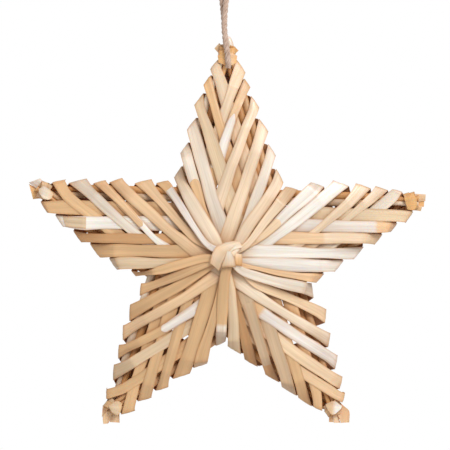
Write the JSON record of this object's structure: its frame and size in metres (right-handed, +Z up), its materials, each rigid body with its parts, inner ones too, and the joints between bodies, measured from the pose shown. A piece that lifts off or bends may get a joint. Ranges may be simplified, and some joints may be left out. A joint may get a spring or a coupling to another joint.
{
  "type": "straw star ornament",
  "caption": "Hanging star ornament woven from flat straw: strips wound in herringbone over a crossed straw frame, raised knot at the centre, bound tips, twine loop.",
  "frame": {"origin": "inside top of the twine loop, where a hook or a twig holds the star", "axes": "+Z up along the twine, -Y out of the star's front, +X to the viewer's right"},
  "size_m": [0.1995, 0.0264, 0.238],
  "materials": {
    "tan_straw": "satin",
    "pale_straw": "satin",
    "golden_straw": "satin",
    "frame_straw": "satin",
    "twine": "matte"
  },
  "bodies": {
    "root": {"frame_bundle_top_to_lower_left": "frame_straw", "frame_bundle_left_to_lower_right": "frame_straw", "frame_bundle_lower_left_to_right": "frame_straw", "frame_bundle_lower_right_to_top": "frame_straw", "frame_bundle_right_to_left": "frame_straw", "straw_turn_1_to_top": "tan_straw", "straw_turn_1_to_lower_left": "tan_straw", "straw_turn_1_to_right": "tan_straw", "straw_turn_1_to_left": "tan_straw", "straw_turn_1_to_lower_right": "tan_straw", "straw_turn_2_to_top": "tan_straw", "straw_turn_2_to_lower_left": "tan_straw", "straw_turn_2_to_right": "tan_straw", "straw_turn_2_to_left": "pale_straw", "straw_turn_2_to_lower_right": "tan_straw", "straw_turn_3_to_top": "tan_straw", "straw_turn_3_to_lower_left": "tan_straw", "straw_turn_3_to_right": "tan_straw", "straw_turn_3_to_left": "tan_straw", "straw_turn_3_to_lower_right": "pale_straw", "straw_turn_4_to_top": "pale_straw", "straw_turn_4_to_lower_left": "tan_straw", "straw_turn_4_to_right": "pale_straw", "straw_turn_4_to_left": "tan_straw", "straw_turn_4_to_lower_right": "tan_straw", "straw_turn_5_to_top": "pale_straw", "straw_turn_5_to_lower_left": "pale_straw", "straw_turn_5_to_right": "pale_straw", "straw_turn_5_to_left": "tan_straw", "straw_turn_5_to_lower_right": "tan_straw", "straw_turn_6_to_top": "tan_straw", "straw_turn_6_to_lower_left": "tan_straw", "straw_turn_6_to_right": "tan_straw", "straw_turn_6_to_left": "tan_straw", "straw_turn_6_to_lower_right": "tan_straw", "tip_binding_top": "golden_straw", "tip_binding_left": "golden_straw", "tip_binding_lower_left": "golden_straw", "tip_binding_lower_right": "golden_straw", "tip_binding_right": "golden_straw", "centre_knot": "golden_straw", "hanging_twine": "twine", "twine_knot": "twine"}
  },
  "joints": []
}
